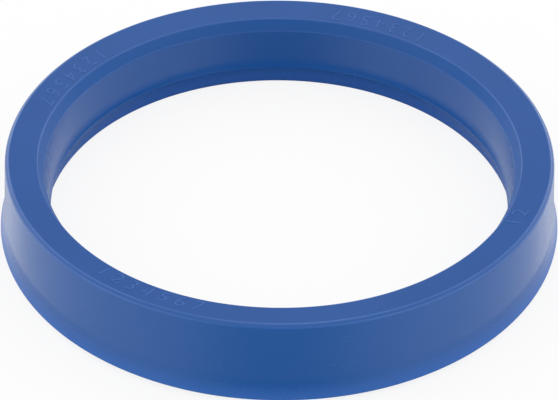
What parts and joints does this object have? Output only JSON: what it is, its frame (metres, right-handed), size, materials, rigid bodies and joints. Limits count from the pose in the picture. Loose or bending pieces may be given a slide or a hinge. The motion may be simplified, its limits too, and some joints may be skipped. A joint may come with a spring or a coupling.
{
  "type": "piston rod seal",
  "caption": "One-piece U-cup rod seal: a moulded polyurethane ring with a heel, a rod-side wiping lip and a flared outer lip, sealing a rod in its gland groove.",
  "frame": {"origin": "centre of the ring, on the plane of its lip tips", "axes": "+Z along the ring's axis, from the lips towards the heel"},
  "size_m": [0.073, 0.073, 0.0111],
  "materials": {
    "seal_ring": "satin moulded polyurethane"
  },
  "bodies": {
    "root": {"seal_ring": "seal_ring"}
  },
  "joints": []
}
